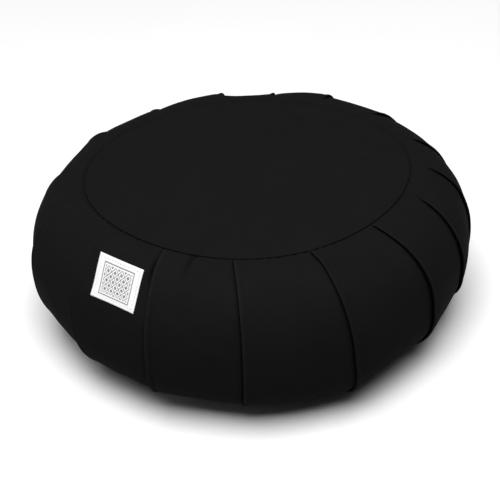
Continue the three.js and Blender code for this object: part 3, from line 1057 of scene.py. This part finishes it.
def black_cotton(finish):
    """Matt black cotton twill: fine diagonal ribs, thick and thin yarn, and a soft bloom of raised fibres."""
    material, tree, shader = new_material("black_cotton_twill")
    flat = cloth_uv(tree)
    place = tree.nodes.new("ShaderNodeTexCoord").outputs["Object"]
    slanting = {"Vector": flat, "Rotation": (0, 0, math.radians(58)), "Scale": (1 / finish.rib,) * 3}
    turned = add_node(tree, "ShaderNodeMapping", slanting).outputs[0]
    twill = {"Vector": turned, "Scale": 2 / TWO_PI, "Distortion": 0.6, "Detail": 1.0, "Detail Scale": 1.5}
    ribs = add_node(tree, "ShaderNodeTexWave", twill)
    yarn = noise_value(tree, flat, 900.0, 2.0, 0.6)
    slub = noise_value(tree, place, 260.0, 3.0, 0.65)
    bloom = noise_value(tree, place, 38.0, 4.0, 0.6)
    mixed = blend(tree, bloom, 0.55, slub, 0.45)
    # painted highlight along the folds' edges and painted shade beside and under the folds and in creases,
    # read from the side's attribute
    painted_light = add_node(tree, "ShaderNodeAttribute", attribute_name="painted_light").outputs["Fac"]
    painted_highlight = maths(tree, "MULTIPLY", maths(tree, "MAXIMUM", painted_light, 0.0), PAINTED_HIGHLIGHT_SHARE)
    painted_shade = maths(tree, "MULTIPLY", maths(tree, "MINIMUM", painted_light, 0.0), PAINTED_SHADE_SHARE)
    painted_light_scale = maths(tree, "ADD", 1.0, maths(tree, "ADD", painted_highlight, painted_shade))
    colour = rising_ramp(tree, mixed, finish.cotton, finish.cotton_worn)
    tinted = add_node(tree, "ShaderNodeVectorMath", {0: colour, "Scale": painted_light_scale}, operation="SCALE").outputs[0]
    socket_value(tree, shader.inputs["Base Color"], tinted)
    relief = blend(tree, ribs.outputs["Fac"], 0.55, yarn, 0.45)
    fine = relief_normal(tree, relief, 0.55, 0.12 * MM)
    socket_value(tree, shader.inputs["Normal"], relief_normal(tree, slub, 0.35, 0.35 * MM, fine))
    shader.inputs["Roughness"].default_value = 0.92
    shader.inputs["Specular IOR Level"].default_value = 0.02
    shader.inputs["Sheen Weight"].default_value = 0.001
    shader.inputs["Sheen Roughness"].default_value = 0.5
    return material


def lozenges(tree, x, y, pitch, line):
    """1 on a lattice of slanted lines and on the small lozenges in its meshes, 0 elsewhere."""
    lines, spots = [], []
    for sign in (1.0, -1.0):
        slanted = maths(tree, "ADD", x, maths(tree, "MULTIPLY", y, sign))
        wrapped = maths(tree, "PINGPONG", slanted, pitch / 2)
        lines.append(maths(tree, "LESS_THAN", wrapped, line / 2))
        spots.append(maths(tree, "GREATER_THAN", wrapped, pitch * 0.27))
    return maths(tree, "MAXIMUM", maths(tree, "MAXIMUM", *lines), maths(tree, "MULTIPLY", *spots))


def label_weave(finish):
    """White label cloth with a woven grey lattice of lozenges in a plain frame."""
    material, tree, shader = new_material("white_label_weave")
    flat = cloth_uv(tree)
    spot = add_node(tree, "ShaderNodeSeparateXYZ", {0: flat})
    x, y = spot.outputs["X"], spot.outputs["Y"]
    lattice = lozenges(tree, x, y, LATTICE_PITCH, LATTICE_LINE)
    past_x = maths(tree, "SUBTRACT", maths(tree, "ABSOLUTE", x), LATTICE_WIDTH / 2)
    past_y = maths(tree, "SUBTRACT", maths(tree, "ABSOLUTE", y), LATTICE_HEIGHT / 2)
    past = maths(tree, "MAXIMUM", past_x, past_y)
    block = maths(tree, "MULTIPLY", lattice, maths(tree, "LESS_THAN", past, 0.0))
    from_frame = maths(tree, "ABSOLUTE", maths(tree, "SUBTRACT", past, FRAME_GAP))
    line = maths(tree, "LESS_THAN", from_frame, LATTICE_LINE / 2)
    pattern = maths(tree, "MAXIMUM", block, line)
    colour = add_node(tree, "ShaderNodeMix", data_type="RGBA")
    sockets = {socket.identifier: socket for socket in (*colour.inputs, *colour.outputs)}
    socket_value(tree, sockets["Factor_Float"], pattern)
    socket_value(tree, sockets["A_Color"], (*finish.label_white, 1))
    socket_value(tree, sockets["B_Color"], (*finish.label_grey, 1))
    socket_value(tree, shader.inputs["Base Color"], sockets["Result_Color"])
    weave = {"Vector": flat, "Distortion": 0.3}
    warp = add_node(tree, "ShaderNodeTexWave", {**weave, "Scale": 520.0}, bands_direction="X")
    weft = add_node(tree, "ShaderNodeTexWave", {**weave, "Scale": 420.0}, bands_direction="Y")
    threads = blend(tree, warp.outputs["Fac"], 0.5, weft.outputs["Fac"], 0.5)
    relief = maths(tree, "ADD", threads, maths(tree, "MULTIPLY", pattern, 0.8))
    socket_value(tree, shader.inputs["Normal"], relief_normal(tree, relief, 0.5, 0.08 * MM))
    shader.inputs["Roughness"].default_value = 0.62
    shader.inputs["Sheen Weight"].default_value = 0.15
    return material


def thread(name, colour):
    """Spun sewing thread with its fine twist."""
    material, tree, shader = new_material(name)
    place = tree.nodes.new("ShaderNodeTexCoord").outputs["Object"]
    twist = noise_value(tree, place, 2400.0, 1.0)
    darker = tuple(0.72 * value for value in colour)
    socket_value(tree, shader.inputs["Base Color"], rising_ramp(tree, twist, darker, colour))
    socket_value(tree, shader.inputs["Normal"], relief_normal(tree, twist, 0.4, 0.1 * MM))
    shader.inputs["Roughness"].default_value = 0.85
    shader.inputs["Specular IOR Level"].default_value = 0.05
    return material


def material_named(name, make):
    """The material of that name, made on first use."""
    return bpy.data.materials.get(name) or make()


def cover_material(finish):
    return material_named("black_cotton_twill", lambda: black_cotton(finish))


SHARED = {}


def current_side():
    """The side's shape with its simulated swell, worked out once."""
    if "side" not in SHARED:
        scene = bpy.context.scene
        side = Side(scene.zafu_sizes, scene.zafu_finish.seed)
        side.swelling = simulated_swell(side, scene.zafu_sizes)
        SHARED["side"] = side
    return SHARED["side"]


# Floor, lights and camera

CUSHION_MIDDLE = 70 * MM  # over the floor. The lights are turned to it
AIM_LEFT = 1.85 * MM  # of the camera, from the cushion's middle, in the picture
AIM_DOWN = 16.4 * MM
FLOOR_HALF = 4.0  # metres


def make_floor(stage):
    """A wide pale floor and the even light round it."""
    half = FLOOR_HALF
    corners = [(-half, -half, 0), (half, -half, 0), (half, half, 0), (-half, half, 0)]
    floor = mesh_object("floor", corners, [(0, 1, 2, 3)])
    material, tree, shader = new_material("pale_floor")
    place = tree.nodes.new("ShaderNodeTexCoord").outputs["Object"]
    mottle = noise_value(tree, place, 3.0, 2.0)
    white = (stage.floor_white,) * 3
    dimmer = tuple(0.985 * value for value in white)
    socket_value(tree, shader.inputs["Base Color"], rising_ramp(tree, mottle, dimmer, white))
    shader.inputs["Roughness"].default_value = 0.8
    shader.inputs["Specular IOR Level"].default_value = 0.2
    assign(floor, material)
    world = bpy.data.worlds.new("even_light")
    world.use_nodes = True
    background = world.node_tree.nodes["Background"]
    background.inputs["Color"].default_value = (1, 1, 1, 1)
    background.inputs["Strength"].default_value = stage.sky
    bpy.context.scene.world = world
    bpy.context.scene.view_settings.view_transform = "Standard"


def make_lights(stage):
    """A large soft light overhead, a little to the front, and a weak one at the left."""
    lights = (
        ("overhead_light", (-0.1, -1.0, 3.75), 3.0, stage.key),
        ("left_light", (-2.4, -0.5, 1.2), 1.5, stage.fill),
    )
    for name, place, size, power in lights:
        light = bpy.data.lights.new(name, "AREA")
        light.shape = "SQUARE"
        light.size = size
        light.energy = power
        lamp = bpy.data.objects.new(name, light)
        lamp.location = place
        back = Vector(place) - Vector((0, 0, CUSHION_MIDDLE))
        lamp.rotation_euler = back.to_track_quat("Z", "Y").to_euler()
        bpy.context.scene.collection.objects.link(lamp)


def make_camera(stage):
    """The camera at the photograph's angle, aimed a little left of and under the cushion's middle."""
    middle = Vector((0, 0, CUSHION_MIDDLE))
    back = Vector((0, -math.cos(stage.elevation), math.sin(stage.elevation)))
    up = Vector((0, math.sin(stage.elevation), math.cos(stage.elevation)))
    right = Vector((1, 0, 0))
    aim = middle - right * AIM_LEFT - up * AIM_DOWN
    eye = middle + back * stage.distance
    camera = bpy.data.cameras.new("camera")
    camera.lens = stage.lens
    camera.sensor_width = 36.0
    holder = bpy.data.objects.new("camera", camera)
    looking = (eye - aim).to_track_quat("Z", "Y").to_matrix().to_4x4()
    holder.matrix_world = Matrix.Translation(eye) @ looking @ Matrix.Rotation(-stage.roll, 4, "Z")
    bpy.context.scene.collection.objects.link(holder)
    bpy.context.scene.camera = holder


# Operators

class ZAFU_OT_side(bpy.types.Operator):
    """Makes the pleated side with its filled panels"""

    bl_idname = "zafu.side"
    bl_label = "Pleated Side"

    def execute(self, context):
        piece = make_pleated_side(current_side(), cover_material(context.scene.zafu_finish))
        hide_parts("pleated_side")
        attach(piece, "root")
        return {"FINISHED"}


class ZAFU_OT_discs(bpy.types.Operator):
    """Makes the seat's and the base's discs of cloth"""

    bl_idname = "zafu.discs"
    bl_label = "Seat and Base Discs"

    def execute(self, context):
        sizes, finish = context.scene.zafu_sizes, context.scene.zafu_finish
        tree = disc_tree()
        common = {
            "Radius": sizes.disc_radius + DISC_TUCK,
            "Thickness": sizes.disc_cloth,
            "Edge Drop": 1.5 * MM,
            "Gather Depth": 0.3 * MM,
            "Gathers": 88.0,
            "Material": cover_material(finish),
        }
        flat_share = sizes.flat_radius / common["Radius"]
        rounds = (
            ("seat_cloth", "top_panel", sizes.top_seam, sizes.crown, 0.0, 1.0, 3 * MM, 1.0),
            ("base_cloth", "base_panel", sizes.base_seam, sizes.base_seam, flat_share, -1.0, 0.6 * MM, 4.0),
        )
        for name, node, seam, crown, flat, facing, uneven, seed in rounds:
            values = {
                "Seam Height": seam,
                "Crown": crown,
                "Flat Share": flat,
                "Facing": facing,
                "Unevenness": uneven,
                "Seed": seed,
                "Straying": max(facing, 0.0),
            }
            source = mesh_object(name + "_source", [(0, 0, 0)], [])
            piece = made_by_nodes(name, source, tree, {**common, **values})
            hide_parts(node)
            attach(piece, "root")
        return {"FINISHED"}


class ZAFU_OT_seam_stitches(bpy.types.Operator):
    """Sews the stitches that show in the two seams"""

    bl_idname = "zafu.seam_stitches"
    bl_label = "Seam Stitches"

    def execute(self, context):
        sizes, finish = context.scene.zafu_sizes, context.scene.zafu_finish
        material = material_named("black_thread", lambda: thread("black_thread", BLACK_THREAD))
        around = np.linspace(0, TWO_PI, 720, endpoint=False)
        rings = (
            ("top_seam_thread", sizes.seam_radius + straying(around), sizes.top_seam - SEAM_THREAD_DEPTH),
            ("base_seam_thread", sizes.seam_radius, sizes.base_seam + SEAM_THREAD_DEPTH),
        )
        for name, reach, level in rings:
            ring = np.stack([reach * np.cos(around), reach * np.sin(around), level + 0 * around], 1)
            piece = sewn(
                name,
                ring,
                material,
                finish.seed,
                pitch=finish.seam_stitch,
                shown=0.8,
                thickness=SEAM_THREAD,
                turn=0.14,
            )
            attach(piece, "root")
        return {"FINISHED"}


class ZAFU_OT_label(bpy.types.Operator):
    """Makes the label and sews it down"""

    bl_idname = "zafu.label"
    bl_label = "Label and its Stitches"

    def execute(self, context):
        sizes, finish = context.scene.zafu_sizes, context.scene.zafu_finish
        side = current_side()
        cloth = make_label(side, label_weave(finish))
        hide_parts("label")
        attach(cloth, "root")
        material = material_named("white_thread", lambda: thread("white_thread", WHITE_THREAD))
        stitches = sewn(
            "label_thread",
            label_stitch_path(side),
            material,
            finish.seed,
            pitch=finish.label_stitch,
            shown=0.78,
            thickness=LABEL_THREAD,
            turn=0.06,
        )
        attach(stitches, "root")
        return {"FINISHED"}


class ZAFU_OT_stage(bpy.types.Operator):
    """Sets the floor, the lights and the camera"""

    bl_idname = "zafu.stage"
    bl_label = "Stage"

    def execute(self, context):
        stage = context.scene.zafu_stage
        make_floor(stage)
        make_lights(stage)
        make_camera(stage)
        return {"FINISHED"}


OPERATORS = (ZAFU_OT_stage, ZAFU_OT_side, ZAFU_OT_discs, ZAFU_OT_seam_stitches, ZAFU_OT_label)


class ZAFU_PT_panel(bpy.types.Panel):
    """Lists the pieces of the cushion and the stage"""

    bl_label = "Zafu Cushion"
    bl_idname = "ZAFU_PT_panel"
    bl_space_type = "VIEW_3D"
    bl_region_type = "UI"
    bl_category = "Zafu"

    def draw(self, context):
        for operator in OPERATORS:
            self.layout.operator(operator.bl_idname)
        for group in (context.scene.zafu_sizes, context.scene.zafu_finish, context.scene.zafu_stage):
            box = self.layout.box()
            for name in group.__annotations__:
                box.prop(group, name)


CLASSES = (ZafuSizes, ZafuFinish, ZafuStage, *OPERATORS, ZAFU_PT_panel)


def register():
    for item in CLASSES:
        bpy.utils.register_class(item)
    bpy.types.Scene.zafu_sizes = PointerProperty(type=ZafuSizes)
    bpy.types.Scene.zafu_finish = PointerProperty(type=ZafuFinish)
    bpy.types.Scene.zafu_stage = PointerProperty(type=ZafuStage)


def unregister():
    del bpy.types.Scene.zafu_stage
    del bpy.types.Scene.zafu_finish
    del bpy.types.Scene.zafu_sizes
    for item in reversed(CLASSES):
        bpy.utils.unregister_class(item)


def main():
    register()
    bpy.ops.zafu.stage()
    bpy.ops.zafu.side()
    bpy.ops.zafu.discs()
    bpy.ops.zafu.seam_stitches()
    bpy.ops.zafu.label()


if __name__ == "__main__":
    main()
